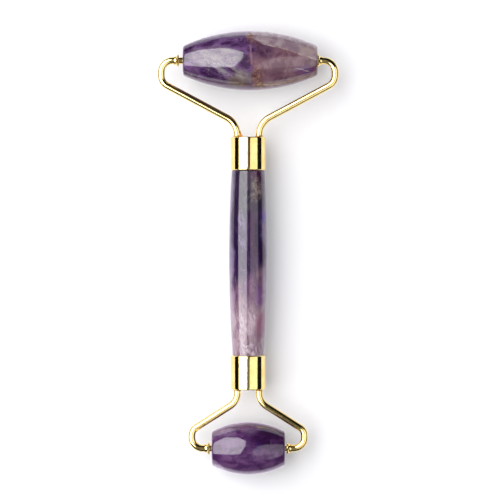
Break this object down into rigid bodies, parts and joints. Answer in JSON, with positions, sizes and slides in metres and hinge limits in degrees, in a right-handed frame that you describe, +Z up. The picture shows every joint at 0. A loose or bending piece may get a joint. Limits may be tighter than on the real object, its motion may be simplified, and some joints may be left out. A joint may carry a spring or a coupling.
{
  "type": "double-ended face roller",
  "caption": "Hand massage roller: a turned stone handle with a gold-plated wire yoke at each end, holding a large and a small stone barrel that spin freely.",
  "frame": {"origin": "under the middle of the roller's box, on the surface it lies on", "axes": "+X along the barrels' pins, to the right with the large head away from the viewer; +Y along the handle, towards the large head; +Z up, square to the plane the roller lies on"},
  "size_m": [0.0588, 0.1442, 0.0193],
  "materials": {
    "handle_amethyst": "polished banded amethyst, indigo at the large end fading to pale quartz",
    "large_amethyst": "polished chevron amethyst with milky bands and a rusty vein",
    "small_amethyst": "polished deep purple amethyst",
    "gold_plate": "mirror-polished pale gold plate",
    "braze": "plated braze, smooth and slightly uneven",
    "nylon": "natural nylon",
    "epoxy": "cured clear epoxy"
  },
  "bodies": {
    "frame": {"handle_stone": "handle_amethyst", "large_ferrule": "gold_plate", "large_ferrule_epoxy": "epoxy", "large_braze": "braze", "large_left_arm": "gold_plate", "large_left_collar": "gold_plate", "large_right_arm": "gold_plate", "large_right_collar": "gold_plate", "small_ferrule": "gold_plate", "small_ferrule_epoxy": "epoxy", "small_braze": "braze", "small_left_arm": "gold_plate", "small_left_collar": "gold_plate", "small_right_arm": "gold_plate", "small_right_collar": "gold_plate"},
    "large_bushes": {"large_left_bush": "nylon", "large_right_bush": "nylon"},
    "large_roller": {"large_roller_stone": "large_amethyst"},
    "small_bushes": {"small_left_bush": "nylon", "small_right_bush": "nylon"},
    "small_roller": {"small_roller_stone": "small_amethyst"}
  },
  "joints": [
    {"name": "large_end_float", "type": "slide", "parent": "frame", "child": "large_bushes", "axis": [1, 0, 0], "range_m": [-0.0013, 0]},
    {"name": "large_spin", "type": "hinge", "parent": "large_bushes", "child": "large_roller", "pos_m": [0.00065, 0.06248, 0.00966], "axis": [1, 0, 0], "continuous": true},
    {"name": "small_end_float", "type": "slide", "parent": "frame", "child": "small_bushes", "axis": [1, 0, 0], "range_m": [-0.00068, 0.00052]},
    {"name": "small_spin", "type": "hinge", "parent": "small_bushes", "child": "small_roller", "pos_m": [0.00008, -0.06357, 0.00857], "axis": [1, 0, 0], "continuous": true}
  ]
}
